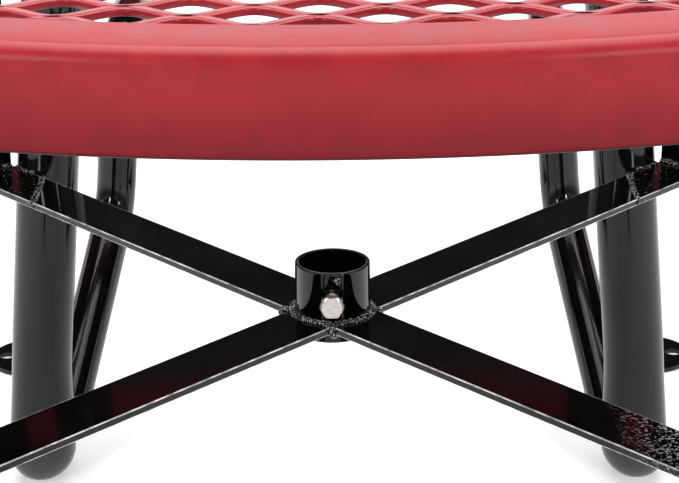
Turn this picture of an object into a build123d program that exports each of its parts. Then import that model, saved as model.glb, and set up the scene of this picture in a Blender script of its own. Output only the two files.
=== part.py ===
from build123d import *
import math
import os

# Round outdoor table with two curved benches on one tubular frame, and an umbrella-pole
# clamp held in the middle of the frame by a flat-bar cross brace.
# Frame: origin on the ground under the table's centre, +Z up, +Y towards the rear bench.

# ---- driving dimensions (mm) -------------------------------------------------
# Table top
TOP_RADIUS = 686.0
TOP_HEIGHT = 736.0
BORDER_WIDTH = 46.0
BORDER_THICK = 5.0
SKIRT_DEPTH = 53.0
SKIRT_THICK = 5.0
RIM_CORNER = 5.0
RIM_EDGE = 2.0

# Expanded-metal sheet
MESH_THICK = 4.0
MESH_LONG_PITCH = 64.0
MESH_SHORT_PITCH = 39.0
MESH_OFFSET = (1.7, -12.3)
MESH_BOND_WIDTH = 8.0
MESH_FIT_GAP = 0.2

# Umbrella pole fittings
POLE_TUBE_RADIUS = 30.15
RING_BORE_RADIUS = 27.65
RING_FLANGE_RADIUS = 60.0
RING_DEPTH = 45.0
COLLAR_BORE_RADIUS = 27.15
COLLAR_TOP = 378.0
COLLAR_HEIGHT = 59.0

# Flat-bar cross brace
ARM_ANGLE = 42.3          # degrees from the Y axis
ARM_WIDTH = 50.0
ARM_THICK = 6.0
ARM_TOP = 336.0
SEAM_X = 279.0            # butt joint between an arm and its end, cut parallel to Y
ARM_END = 496.0           # to the hanger, from the table's axis
STRAP_THICK = 4.0
STRAP_WIDTH = 30.0
STRAP_START = 262.0
STRAP_END = 470.0
COPE_GAP = 1.0            # between the brace and the leg it is welded to

# Under-top framing
BEAM_WIDTH = 60.0
BEAM_THICK = 6.0
BEAM_HALF_LENGTH = 525.0
BEAM_CHAMFER = 12.0
TIE_THICK = 6.0
TIE_DEPTH = 40.0
PLATE_LENGTH = 120.0
PLATE_WIDTH = 80.0
PLATE_THICK = 6.0
PLATE_CORNER = 10.0
STUD_SPREAD = 90.0
STUD_LENGTH = 14.0

# Legs
LEG_RADIUS = 30.15
LEG_WALL = 3.0
LEG_X_AT_ARM = 280.2
LEG_Y = 387.6
LEG_LEAN = 0.0822         # outward run in X for each mm down
DOME_RADIUS = 38.0

# Seat tubes and ground rails
SEAT_TUBE_RADIUS = 21.2
SEAT_TUBE_WALL = 2.6
SEAT_TUBE_INSET = 21.5    # from the leg's axis towards the middle, at the foot
KNEE = (241.0, 600.0, 214.0)
NECK = (227.0, 604.0, 400.0)
SEAT_TUBE_TIP = (236.0, 1010.0, 400.0)
KNEE_RADIUS = 80.0
NECK_RADIUS = 75.0
RAIL_TIP = (350.0, 722.0)
FOOT_THICK = 6.0
FOOT_RADIUS = 50.0
FOOT_CENTRE = (352.0, 690.0)
ANCHOR_HOLE_RADIUS = 9.0
ANCHOR_HOLE_X = 384.0

# Benches
BENCH_INNER = 800.0
BENCH_OUTER = 1055.0
BENCH_SPAN = 44.0         # degrees either side of the Y axis
BENCH_HEIGHT = 462.0
BENCH_BORDER = 32.0
BENCH_SKIRT = 40.0
BENCH_CORNER = 30.0
RISER_WIDTH = 60.0
RISER_LENGTH = 210.0
RISER_WALL = 4.0
RISER_CORNER = 4.0
RISER_PLACE = (233.0, 897.5)

# M10 clamp screw and its weld nut
BOLT_RADIUS = 5.0
BOLT_CLEARANCE = 0.05
HOLE_CLEARANCE = 0.5
BOLT_FLATS = 17.0
BOLT_HEAD_THICK = 6.4
BOLT_HEAD_FACE = -51.6    # Y of the head's underside
BOLT_LENGTH = 22.0
BOLT_TIP_CHAMFER = 0.8
BOLT_HEIGHT = 360.0
NUT_FLATS = 17.0
NUT_THICK = 8.0
PAD_RADIUS = 4.6
PAD_THICK = 2.0
PAD_STEM_RADIUS = 2.0
PAD_STEM_LENGTH = 4.0

WELD_GAP = 0.3            # root gap left for a weld between curved faces
CAP_THICK = 3.0
CAP_PLUG = 12.0

# ---- derived places ----------------------------------------------------------
MESH_RADIUS = TOP_RADIUS - BORDER_WIDTH
SHEET_BOTTOM = TOP_HEIGHT - BORDER_THICK
BEAM_BOTTOM = SHEET_BOTTOM - BEAM_THICK
PLATE_BOTTOM = BEAM_BOTTOM - PLATE_THICK
ARM_BOTTOM = ARM_TOP - ARM_THICK
RAIL_HEIGHT = FOOT_THICK + SEAT_TUBE_RADIUS
BENCH_SHEET_BOTTOM = BENCH_HEIGHT - BORDER_THICK
RISER_BOTTOM = SEAT_TUBE_TIP[2] + SEAT_TUBE_RADIUS
CORNERS = {
    "rear_right": (1, 1),
    "rear_left": (-1, 1),
    "front_right": (1, -1),
    "front_left": (-1, -1),
}
SIDES = {"rear": 1, "front": -1}

os.makedirs("parts", exist_ok=True)


def leg_x(height):
    """X of a right-hand leg's axis at a height above the ground."""
    return LEG_X_AT_ARM - LEG_LEAN * (height - ARM_TOP)


def save(part, name):
    """Labels a finished piece and writes it to its own file."""
    part.label = name
    export_step(part, f"parts/{name}.step")


def opening_centres(long_half, short_half):
    """Centres of the staggered diamond openings over a rectangle of these half sizes."""
    rows = int(short_half / (MESH_SHORT_PITCH / 2)) + 1
    columns = int(long_half / MESH_LONG_PITCH) + 1
    return [
        (
            (column + (row % 2) / 2) * MESH_LONG_PITCH + MESH_OFFSET[0],
            row * MESH_SHORT_PITCH / 2 + MESH_OFFSET[1],
        )
        for row in range(-rows, rows + 1)
        for column in range(-columns, columns + 1)
    ]


def diamond_points():
    """Outline of one opening, with its four sides a strand's width from the next opening's."""
    half_long = (MESH_LONG_PITCH - 2 * MESH_BOND_WIDTH) / 2
    half_short = (MESH_SHORT_PITCH - MESH_BOND_WIDTH) / 2
    return [(half_long, 0), (0, half_short), (-half_long, 0), (0, -half_short)]


# ---- table top ---------------------------------------------------------------
with BuildPart() as top_rim:
    with BuildSketch(Plane.XZ):
        with BuildLine():
            inner = MESH_RADIUS
            skirt_inside = TOP_RADIUS - SKIRT_THICK
            skirt_bottom = TOP_HEIGHT - SKIRT_DEPTH
            FilletPolyline(
                (inner, SHEET_BOTTOM),
                (skirt_inside, SHEET_BOTTOM),
                (skirt_inside, skirt_bottom),
                (TOP_RADIUS, skirt_bottom),
                (TOP_RADIUS, TOP_HEIGHT),
                (inner, TOP_HEIGHT),
                radius=[RIM_EDGE, RIM_EDGE, RIM_EDGE, RIM_CORNER],
            )
            Line((inner, TOP_HEIGHT), (inner, SHEET_BOTTOM))
        make_face()
    revolve(axis=Axis.Z)
save(top_rim.part, "top_rim")

with BuildPart() as top_mesh:
    keep_out = RING_FLANGE_RADIUS + MESH_LONG_PITCH / 2
    keep_in = MESH_RADIUS - MESH_LONG_PITCH / 2
    centres = [
        point
        for point in opening_centres(MESH_RADIUS, MESH_RADIUS)
        if keep_out < math.hypot(*point) < keep_in
    ]
    with BuildSketch(Plane.XY.offset(SHEET_BOTTOM)):
        Circle(MESH_RADIUS - MESH_FIT_GAP)
        Circle(RING_FLANGE_RADIUS + MESH_FIT_GAP, mode=Mode.SUBTRACT)
        with Locations(*centres):
            Polygon(*diamond_points(), mode=Mode.SUBTRACT)
    extrude(amount=MESH_THICK)
save(top_mesh.part, "top_mesh")

with BuildPart() as umbrella_ring:
    with BuildSketch(Plane.XY.offset(SHEET_BOTTOM)):
        Circle(RING_FLANGE_RADIUS)
        Circle(RING_BORE_RADIUS, mode=Mode.SUBTRACT)
    extrude(amount=BORDER_THICK)
    with BuildSketch(Plane.XY.offset(TOP_HEIGHT - RING_DEPTH)):
        Circle(POLE_TUBE_RADIUS)
        Circle(RING_BORE_RADIUS, mode=Mode.SUBTRACT)
    extrude(amount=RING_DEPTH - BORDER_THICK)
save(umbrella_ring.part, "umbrella_ring")

for side, sign in SIDES.items():
    with BuildPart() as top_beam:
        with BuildSketch(Plane.XY.offset(BEAM_BOTTOM)):
            with Locations((0, sign * LEG_Y)):
                Rectangle(2 * BEAM_HALF_LENGTH, BEAM_WIDTH)
        extrude(amount=BEAM_THICK)
        chamfer(top_beam.edges().filter_by(Axis.Z), BEAM_CHAMFER)
    save(top_beam.part, f"top_beam_{side}")

for side, sign in {"right": 1, "left": -1}.items():
    with BuildPart() as top_tie:
        tie_x = POLE_TUBE_RADIUS + WELD_GAP + TIE_THICK / 2
        with BuildSketch(Plane.XY.offset(SHEET_BOTTOM - TIE_DEPTH)):
            with Locations((sign * tie_x, 0)):
                Rectangle(TIE_THICK, 2 * LEG_Y - BEAM_WIDTH)
        extrude(amount=TIE_DEPTH)
    save(top_tie.part, f"top_tie_{side}")

# ---- legs, seat tubes, ground rails and anchor feet, one set in each corner --
for corner, (sx, sy) in CORNERS.items():
    leg_base = (sx * leg_x(DOME_RADIUS), sy * LEG_Y, DOME_RADIUS)
    leg_axis = Vector(-sx * LEG_LEAN, 0, 1).normalized()
    leg_plane = Plane(origin=leg_base, x_dir=(0, 1, 0), z_dir=leg_axis)
    knee = (sx * KNEE[0], sy * KNEE[1], KNEE[2])
    neck = (sx * NECK[0], sy * NECK[1], NECK[2])
    tube_tip = (sx * SEAT_TUBE_TIP[0], sy * SEAT_TUBE_TIP[1], SEAT_TUBE_TIP[2])
    tube_base = (leg_base[0] - sx * SEAT_TUBE_INSET, leg_base[1], DOME_RADIUS)
    tube_axis = Vector(*knee) - Vector(*tube_base)
    tube_plane = Plane(origin=tube_base, z_dir=tube_axis)
    rail_base = (leg_base[0], leg_base[1], RAIL_HEIGHT)
    rail_tip = (sx * RAIL_TIP[0], sy * RAIL_TIP[1], RAIL_HEIGHT)
    rail_axis = Vector(*rail_tip) - Vector(*rail_base)
    rail_plane = Plane(origin=rail_base, z_dir=rail_axis)

    with BuildPart() as leg:
        with BuildSketch(leg_plane):
            Circle(LEG_RADIUS)
        extrude(amount=TOP_HEIGHT)
        with Locations(leg_base):
            Sphere(DOME_RADIUS)
        with BuildSketch(leg_plane.offset(DOME_RADIUS)):
            Circle(LEG_RADIUS - LEG_WALL)
        extrude(amount=TOP_HEIGHT, mode=Mode.SUBTRACT)
        split(bisect_by=Plane.XY.offset(PLATE_BOTTOM), keep=Keep.BOTTOM)
    save(leg.part, f"leg_{corner}")

    with BuildPart() as seat_tube:
        with BuildLine():
            FilletPolyline(tube_base, knee, neck, tube_tip, radius=[KNEE_RADIUS, NECK_RADIUS])
        with BuildSketch(tube_plane):
            Circle(SEAT_TUBE_RADIUS)
            Circle(SEAT_TUBE_RADIUS - SEAT_TUBE_WALL, mode=Mode.SUBTRACT)
        sweep()
        with BuildSketch(leg_plane):
            Circle(LEG_RADIUS + WELD_GAP)
        extrude(amount=TOP_HEIGHT / 2, mode=Mode.SUBTRACT)
        with Locations(leg_base):
            Sphere(DOME_RADIUS + WELD_GAP, mode=Mode.SUBTRACT)
    save(seat_tube.part, f"seat_tube_{corner}")

    with BuildPart() as foot_rail:
        with BuildSketch(rail_plane):
            Circle(SEAT_TUBE_RADIUS)
            Circle(SEAT_TUBE_RADIUS - SEAT_TUBE_WALL, mode=Mode.SUBTRACT)
        extrude(amount=rail_axis.length)
        with Locations(leg_base):
            Sphere(DOME_RADIUS + WELD_GAP, mode=Mode.SUBTRACT)
        with BuildSketch(tube_plane):
            Circle(SEAT_TUBE_RADIUS + WELD_GAP)
        extrude(amount=tube_axis.length / 2, mode=Mode.SUBTRACT)
        with BuildSketch(leg_plane):
            Circle(LEG_RADIUS + WELD_GAP)
        extrude(amount=TOP_HEIGHT / 4, mode=Mode.SUBTRACT)
    save(foot_rail.part, f"foot_rail_{corner}")

    with BuildPart() as anchor_foot:
        with BuildSketch(Plane.XY):
            with Locations((sx * FOOT_CENTRE[0], sy * FOOT_CENTRE[1])):
                Circle(FOOT_RADIUS)
            with Locations((sx * ANCHOR_HOLE_X, sy * FOOT_CENTRE[1])):
                Circle(ANCHOR_HOLE_RADIUS, mode=Mode.SUBTRACT)
        extrude(amount=FOOT_THICK)
    save(anchor_foot.part, f"anchor_foot_{corner}")

    with BuildPart() as leg_plate:
        with BuildSketch(Plane.XY.offset(PLATE_BOTTOM)):
            with Locations((sx * leg_x(PLATE_BOTTOM), sy * LEG_Y)):
                RectangleRounded(PLATE_LENGTH, PLATE_WIDTH, PLATE_CORNER)
                with GridLocations(STUD_SPREAD, 0, 2, 1):
                    Circle(BOLT_RADIUS + HOLE_CLEARANCE, mode=Mode.SUBTRACT)
        extrude(amount=PLATE_THICK)
    save(leg_plate.part, f"leg_plate_{corner}")

# ---- cross brace -------------------------------------------------------------
def bar_outline(sx, sy, start, end, width=ARM_WIDTH):
    """Plan of a length of an arm's bar, coped round the leg, between two distances from the axis."""
    turn = math.degrees(math.atan2(sy * arm_cosine, sx * arm_sine))
    middle = (start + end) / 2
    with Locations(Location((sx * arm_sine * middle, sy * arm_cosine * middle, 0), (0, 0, turn))):
        Rectangle(end - start, width)
    with Locations((sx * leg_x(ARM_BOTTOM), sy * LEG_Y)):
        Circle(LEG_RADIUS + COPE_GAP, mode=Mode.SUBTRACT)


arm_sine = math.sin(math.radians(ARM_ANGLE))
arm_cosine = math.cos(math.radians(ARM_ANGLE))
for corner, (sx, sy) in CORNERS.items():
    with BuildPart() as arm:
        with BuildSketch(Plane.XY.offset(ARM_BOTTOM)):
            bar_outline(sx, sy, 0, ARM_END)
            with Locations((sx * (SEAM_X + WELD_GAP) / 2, sy * (TOP_RADIUS / 2 + WELD_GAP))):
                Rectangle(SEAM_X - WELD_GAP, TOP_RADIUS, mode=Mode.INTERSECT)
            Circle(POLE_TUBE_RADIUS + WELD_GAP, mode=Mode.SUBTRACT)
        extrude(amount=ARM_THICK)
    save(arm.part, f"arm_{corner}")

    with BuildPart() as arm_end:
        with BuildSketch(Plane.XY.offset(ARM_BOTTOM)):
            bar_outline(sx, sy, 0, ARM_END)
            with Locations((sx * (SEAM_X + WELD_GAP + TOP_RADIUS / 2), sy * TOP_RADIUS / 2)):
                Rectangle(TOP_RADIUS, TOP_RADIUS, mode=Mode.INTERSECT)
        extrude(amount=ARM_THICK)
    save(arm_end.part, f"arm_end_{corner}")

    with BuildPart() as splice_strap:
        with BuildSketch(Plane.XY.offset(ARM_BOTTOM - STRAP_THICK)):
            bar_outline(sx, sy, STRAP_START, STRAP_END, STRAP_WIDTH)
        extrude(amount=STRAP_THICK)
    save(splice_strap.part, f"splice_strap_{corner}")

    with BuildPart() as hanger:
        with BuildSketch(Plane.XY.offset(ARM_BOTTOM)):
            bar_outline(sx, sy, ARM_END, ARM_END + ARM_THICK)
        extrude(amount=BEAM_BOTTOM - ARM_BOTTOM)
    save(hanger.part, f"hanger_{corner}")

# ---- umbrella collar, weld nut and clamp screw -------------------------------
bolt_plane = Plane(origin=(0, BOLT_HEAD_FACE, BOLT_HEIGHT), x_dir=(1, 0, 0), z_dir=(0, 1, 0))

with BuildPart() as collar:
    with BuildSketch(Plane.XY.offset(COLLAR_TOP - COLLAR_HEIGHT)):
        Circle(POLE_TUBE_RADIUS)
        Circle(COLLAR_BORE_RADIUS, mode=Mode.SUBTRACT)
    extrude(amount=COLLAR_HEIGHT)
    with BuildSketch(bolt_plane):
        Circle(BOLT_RADIUS + HOLE_CLEARANCE)
    extrude(amount=-BOLT_HEAD_FACE, mode=Mode.SUBTRACT)
save(collar.part, "collar")

with BuildPart() as weld_nut:
    nut_offset = -BOLT_HEAD_FACE - POLE_TUBE_RADIUS - NUT_THICK
    with BuildSketch(bolt_plane.offset(nut_offset)):
        RegularPolygon(NUT_FLATS / 2, 6, major_radius=False, rotation=30)
        Circle(BOLT_RADIUS + BOLT_CLEARANCE, mode=Mode.SUBTRACT)
    extrude(amount=NUT_THICK + POLE_TUBE_RADIUS)
    with BuildSketch(Plane.XY.offset(COLLAR_TOP - COLLAR_HEIGHT)):
        Circle(POLE_TUBE_RADIUS + MESH_FIT_GAP)
    extrude(amount=COLLAR_HEIGHT, mode=Mode.SUBTRACT)
save(weld_nut.part, "weld_nut")

with BuildPart() as clamp_bolt:
    with BuildSketch(bolt_plane):
        Circle(BOLT_RADIUS)
    extrude(amount=BOLT_LENGTH)
    chamfer(clamp_bolt.edges().sort_by(Axis.Y)[-1], BOLT_TIP_CHAMFER)
    with BuildSketch(bolt_plane):
        RegularPolygon(BOLT_FLATS / 2, 6, major_radius=False)
    extrude(amount=-BOLT_HEAD_THICK)
    with BuildSketch(bolt_plane.offset(BOLT_LENGTH - PAD_STEM_LENGTH)):
        Circle(PAD_STEM_RADIUS + BOLT_CLEARANCE)
    extrude(amount=PAD_STEM_LENGTH, mode=Mode.SUBTRACT)
save(clamp_bolt.part, "clamp_bolt")

with BuildPart() as clamp_pad:
    with BuildSketch(bolt_plane.offset(BOLT_LENGTH + BOLT_CLEARANCE)):
        Circle(PAD_RADIUS)
    extrude(amount=PAD_THICK)
    with BuildSketch(bolt_plane.offset(BOLT_LENGTH + BOLT_CLEARANCE)):
        Circle(PAD_STEM_RADIUS)
    extrude(amount=-(PAD_STEM_LENGTH - 2 * BOLT_CLEARANCE))
save(clamp_pad.part, "clamp_pad")

# ---- benches -----------------------------------------------------------------
def bench_face(sign, inset):
    """One bench's plan: an arc-shaped slab, pulled in by inset on every side, with round corners."""
    inner = BENCH_INNER + inset
    outer = BENCH_OUTER - inset
    half = math.radians(BENCH_SPAN) - inset / BENCH_OUTER
    near_end = (inner * math.sin(half), sign * inner * math.cos(half))
    far_end = (outer * math.sin(half), sign * outer * math.cos(half))
    with BuildSketch() as plan:
        with BuildLine():
            ThreePointArc(far_end, (0, sign * outer), (-far_end[0], far_end[1]))
            Line((-far_end[0], far_end[1]), (-near_end[0], near_end[1]))
            ThreePointArc((-near_end[0], near_end[1]), (0, sign * inner), near_end)
            Line(near_end, far_end)
        make_face()
        fillet(plan.vertices(), BENCH_CORNER - inset / 2)
    return plan.sketch


for side, sign in SIDES.items():
    plans = {inset: bench_face(sign, inset) for inset in (0, SKIRT_THICK, BENCH_BORDER)}

    with BuildPart() as bench_rim:
        with BuildSketch(Plane.XY.offset(BENCH_HEIGHT - BENCH_SKIRT)):
            add(plans[0])
            add(plans[SKIRT_THICK], mode=Mode.SUBTRACT)
        extrude(amount=BENCH_SKIRT)
        with BuildSketch(Plane.XY.offset(BENCH_SHEET_BOTTOM)):
            add(plans[SKIRT_THICK])
            add(plans[BENCH_BORDER], mode=Mode.SUBTRACT)
        extrude(amount=BORDER_THICK)
        fillet(bench_rim.faces().sort_by(Axis.Z)[-1].outer_wire().edges(), RIM_CORNER - 1)
    save(bench_rim.part, f"bench_rim_{side}")

    with BuildPart() as bench_mesh:
        mid_radius = (BENCH_INNER + BENCH_OUTER) / 2
        half_width = mid_radius - BENCH_INNER - BENCH_BORDER - MESH_LONG_PITCH / 3
        half_span = BENCH_SPAN - math.degrees((BENCH_BORDER + MESH_LONG_PITCH / 2) / BENCH_INNER)
        centres = [
            point
            for point in opening_centres(BENCH_OUTER, BENCH_OUTER)
            if abs(math.hypot(*point) - mid_radius) < half_width
            and math.degrees(math.atan2(abs(point[0]), sign * point[1])) < half_span
        ]
        with BuildSketch(Plane.XY.offset(BENCH_SHEET_BOTTOM)):
            add(bench_face(sign, BENCH_BORDER + MESH_FIT_GAP))
            with Locations(*centres):
                Polygon(*diamond_points(), mode=Mode.SUBTRACT)
        extrude(amount=MESH_THICK)
    save(bench_mesh.part, f"bench_mesh_{side}")

for corner, (sx, sy) in CORNERS.items():
    with BuildPart() as bench_riser:
        riser_x = sx * RISER_PLACE[0]
        riser_y = sy * RISER_PLACE[1]
        height = BENCH_SHEET_BOTTOM - RISER_BOTTOM
        with BuildSketch(Plane.XY.offset(RISER_BOTTOM)):
            with Locations((riser_x, riser_y)):
                Rectangle(RISER_WIDTH, RISER_LENGTH)
        extrude(amount=height)
        fillet(bench_riser.edges().filter_by(Axis.Y), RISER_CORNER)
        with BuildSketch(Plane.XY.offset(RISER_BOTTOM + RISER_WALL)):
            with Locations((riser_x, riser_y)):
                Rectangle(RISER_WIDTH - 2 * RISER_WALL, RISER_LENGTH)
        extrude(amount=height - 2 * RISER_WALL, mode=Mode.SUBTRACT)
    save(bench_riser.part, f"bench_riser_{corner}")

# ---- identical small pieces, each kind in one group --------------------------
def stud_places():
    """Where a stud hangs from each beam, two to a leg plate."""
    half = STUD_SPREAD / 2
    return [
        (sx * leg_x(PLATE_BOTTOM) + offset, sy * LEG_Y)
        for sx, sy in CORNERS.values()
        for offset in (-half, half)
    ]


with BuildPart() as leg_studs:
    with BuildSketch(Plane.XY.offset(PLATE_BOTTOM - STUD_LENGTH)):
        with Locations(*stud_places()):
            Circle(BOLT_RADIUS)
    extrude(amount=STUD_LENGTH + PLATE_THICK)
save(leg_studs.part, "leg_studs")

with BuildPart() as leg_nuts:
    with BuildSketch(Plane.XY.offset(PLATE_BOTTOM - NUT_THICK)):
        with Locations(*stud_places()):
            RegularPolygon(NUT_FLATS / 2, 6, major_radius=False)
        with Locations(*stud_places()):
            Circle(BOLT_RADIUS + BOLT_CLEARANCE, mode=Mode.SUBTRACT)
    extrude(amount=NUT_THICK)
save(leg_nuts.part, "leg_nuts")


def tube_end_planes(tip, behind):
    """The plane across each corner's tube end, looking out of the tube."""
    planes = []
    for sx, sy in CORNERS.values():
        end = Vector(sx * tip[0], sy * tip[1], tip[2])
        start = Vector(sx * behind[0], sy * behind[1], behind[2])
        planes.append(Plane(origin=end, z_dir=end - start))
    return planes


def end_caps(planes):
    """A push-in cap on each tube end: a disc outside and a plug inside."""
    with BuildPart() as caps:
        for plane in planes:
            with BuildSketch(plane):
                Circle(SEAT_TUBE_RADIUS)
            extrude(amount=CAP_THICK)
            with BuildSketch(plane):
                Circle(SEAT_TUBE_RADIUS - SEAT_TUBE_WALL - BOLT_CLEARANCE)
            extrude(amount=-CAP_PLUG)
    return caps.part


rail_behind = (leg_x(DOME_RADIUS), LEG_Y, RAIL_HEIGHT)
rail_end = (RAIL_TIP[0], RAIL_TIP[1], RAIL_HEIGHT)
save(end_caps(tube_end_planes(rail_end, rail_behind)), "rail_caps")
save(end_caps(tube_end_planes(SEAT_TUBE_TIP, NECK)), "seat_tube_caps")
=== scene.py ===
import math

import bpy
import numpy as np
from mathutils import Matrix, Vector


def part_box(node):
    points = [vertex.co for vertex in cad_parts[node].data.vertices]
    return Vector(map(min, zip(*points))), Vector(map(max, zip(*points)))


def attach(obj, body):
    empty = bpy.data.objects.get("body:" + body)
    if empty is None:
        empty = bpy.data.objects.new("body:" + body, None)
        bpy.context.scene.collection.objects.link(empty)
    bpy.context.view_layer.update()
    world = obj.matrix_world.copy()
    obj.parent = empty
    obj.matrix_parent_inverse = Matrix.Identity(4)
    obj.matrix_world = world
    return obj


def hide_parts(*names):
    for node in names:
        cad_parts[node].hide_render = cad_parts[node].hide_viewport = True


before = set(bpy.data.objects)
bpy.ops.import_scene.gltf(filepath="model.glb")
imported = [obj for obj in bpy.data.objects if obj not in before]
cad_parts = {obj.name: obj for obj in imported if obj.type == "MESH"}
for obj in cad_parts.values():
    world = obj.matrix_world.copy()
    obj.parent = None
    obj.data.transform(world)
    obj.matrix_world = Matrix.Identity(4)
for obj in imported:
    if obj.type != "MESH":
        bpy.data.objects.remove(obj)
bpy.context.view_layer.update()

MM = 0.001
CORNERS = {
    "rear_right": (1, 1),
    "rear_left": (-1, 1),
    "front_right": (1, -1),
    "front_left": (-1, -1),
}
SIDES = {"rear": 1, "front": -1}

# ---- sizes in mm, the same as the design's -----------------------------------
TOP_RADIUS = 686.0
BORDER_WIDTH = 46.0
BORDER_THICK = 5.0
SKIRT_THICK = 5.0
RIM_ROUND = 9.0
MESH_LONG_PITCH = 64.0
MESH_ROW = 19.5
MESH_SHIFT = (1.7, -12.3)
RING_FLANGE = 60.0
RING_BORE = 27.65
RING_DEPTH = 45.0
POLE_TUBE = 30.15
COLLAR_BORE = 27.15
ARM_ANGLE = 42.3
ARM_WIDTH = 50.0
ARM_END = 496.0
SEAM_X = 279.0
STRAP_START = 262.0
STRAP_WIDTH = 30.0
LEG_RADIUS = 30.15
LEG_X_AT_ARM = 280.2
LEG_Y = 387.6
LEG_LEAN = 0.0822
DOME = 38.0
SEAT_TUBE = 21.2
SEAT_TUBE_INSET = 21.5
KNEE = (241.0, 600.0, 214.0)
NECK = (227.0, 604.0, 400.0)
SEAT_TUBE_TIP = (236.0, 1010.0, 400.0)
KNEE_RADIUS = 80.0
NECK_RADIUS = 75.0
RAIL_TIP = (350.0, 722.0)
FOOT_THICK = 6.0
BENCH_INNER = 800.0
BENCH_OUTER = 1055.0
BENCH_SPAN = 44.0
BENCH_BORDER = 32.0
BENCH_SKIRT = 40.0
BENCH_CORNER = 30.0
BOLT_RADIUS = 5.0
BOLT_FLATS = 17.0
BOLT_HEAD = 6.4
BOLT_LENGTH = 22.0
BOLT_HEIGHT = 360.0
BOLT_HEAD_FACE = -51.6
NUT_FLATS = 17.0
NUT_THICK = 8.0

# ---- sizes in mm that only the visible pieces have ---------------------------
LIP_OVERHANG = 3.2
LIP_CORNER = 5.0
SKIRT_SHADE_RISE = 40.0
STRAND_WIDTH = 8.6
STRAND_THICK = 4.4
STRAND_SWING = 9.3
STRAND_DROP = 0.6
STRAND_LIFT = 0.5
STRAND_SQUARENESS = 0.4
STRAND_STEPS = 14
STRAND_SIDES = 16
RIM_STEPS = 540
RING_STEPS = 128
BENCH_ROUND = 7.0
BENCH_LOOP_POINTS = 640
BENCH_NEAREST_Y = 560.0
FOOT_RADIUS = 33.5
FOOT_SHIFT = (-4.4, -4.4)
FOOT_BLEND = 95.0
FLOOR_LIGHT_TOP = 85.0
LEG_SIDES = 72
TUBE_SIDES = 56
THREAD_PITCH = 1.5
THREAD_DEPTH = 0.85
THREAD_SIDES = 40
HEX_STEPS = 96
HARD_EDGE = 22.0
SCREW_HOLE = 5.5
SCREW_HOLE_STEPS = 48
COLLAR_STEPS = 160
COLLAR_ROUND = 0.9
HOLE_GRID = 0.9
MERGE_GAP = 0.01
GLINT_FADE_START = 200.0
GLINT_FADE_FULL = 270.0

TOP_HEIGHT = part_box("top_rim")[1].z / MM
SKIRT_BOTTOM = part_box("top_rim")[0].z / MM
SHEET_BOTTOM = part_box("top_mesh")[0].z / MM
ARM_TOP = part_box("arm_rear_left")[1].z / MM
ARM_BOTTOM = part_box("arm_rear_left")[0].z / MM
PLATE_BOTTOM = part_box("leg_plate_rear_left")[0].z / MM
BENCH_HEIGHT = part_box("bench_rim_rear")[1].z / MM
RAIL_HEIGHT = FOOT_THICK + SEAT_TUBE
ARM_SINE = math.sin(math.radians(ARM_ANGLE))
ARM_COSINE = math.cos(math.radians(ARM_ANGLE))


def leg_x(height):
    """X of a right-hand leg's axis, in mm, at a height above the ground."""
    return LEG_X_AT_ARM - LEG_LEAN * (height - ARM_TOP)


# ---- materials ---------------------------------------------------------------
def grey(level):
    """A grey colour of one brightness."""
    return (level, level, level)


NOISE_LOW = 0.3
NOISE_HIGH = 0.7
MIX_FIRST_COLOUR = 6
MIX_SECOND_COLOUR = 7
MIX_RESULT_COLOUR = 2

WHITE = grey(1.0)
NO_COLOUR = grey(0.0)
RED_DARK = (0.33, 0.016, 0.024)
RED_LIGHT = (0.38, 0.022, 0.034)
SMUDGE_TONE = (0.82, 0.74, 0.76)
UNDERSIDE_PAINTED_SHADE = (0.22, 0.25, 0.25)
SKIRT_FOOT_PAINTED_SHADE = (0.55, 0.36, 0.42)
BLACK_DEEP = (0.0015, 0.0015, 0.0018)
BLACK_DUSTY = (0.004, 0.004, 0.0045)
GLINT = (0.62, 0.62, 0.63)
PAINTED_FLOOR_LIGHT = grey(0.055)
MIRROR_GLOSS = (0.05, 0.09)
WELD_GLOSS = (0.08, 0.16)
TUBE_GLOSS = 0.36
STRAND_COAT = 0.35
FLOOR_GLOW = 0.45


def start_material(name):
    """A new node material and its tree, shader and object-space coordinates."""
    material = bpy.data.materials.new(name)
    material.use_nodes = True
    tree = material.node_tree
    shader = tree.nodes["Principled BSDF"]
    coords = tree.nodes.new("ShaderNodeTexCoord")
    return material, tree, shader, coords.outputs["Object"]


def add_noise(tree, coords, scale, detail=2.0, roughness=0.5):
    """A noise texture's value, about NOISE_LOW to NOISE_HIGH; scale is its patches per metre."""
    node = tree.nodes.new("ShaderNodeTexNoise")
    node.inputs["Scale"].default_value = scale
    node.inputs["Detail"].default_value = detail
    node.inputs["Roughness"].default_value = roughness
    tree.links.new(coords, node.inputs["Vector"])
    return node.outputs["Fac"]


def add_ramp(tree, value, stops):
    """A colour ramp: stops are (position, colour) pairs."""
    node = tree.nodes.new("ShaderNodeValToRGB")
    ramp = node.color_ramp
    while len(ramp.elements) < len(stops):
        ramp.elements.new(0.5)
    for element, (position, colour) in zip(ramp.elements, stops):
        element.position = position
        element.color = (*colour, 1.0)
    tree.links.new(value, node.inputs["Fac"])
    return node.outputs["Color"]


def add_range(tree, noise, low, high):
    """A noise's usual values stretched to run from low to high."""
    node = tree.nodes.new("ShaderNodeMapRange")
    node.inputs["From Min"].default_value = NOISE_LOW
    node.inputs["From Max"].default_value = NOISE_HIGH
    node.inputs["To Min"].default_value = low
    node.inputs["To Max"].default_value = high
    tree.links.new(noise, node.inputs["Value"])
    return node.outputs["Result"]


def add_rise(tree, vector, axis, low, high):
    """A value that goes from 0 to 1 while one coordinate of a vector goes from low to high."""
    split = tree.nodes.new("ShaderNodeSeparateXYZ")
    tree.links.new(vector, split.inputs["Vector"])
    rise = tree.nodes.new("ShaderNodeMapRange")
    rise.inputs["From Min"].default_value = low
    rise.inputs["From Max"].default_value = high
    tree.links.new(split.outputs[axis], rise.inputs["Value"])
    return rise.outputs["Result"]


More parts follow.
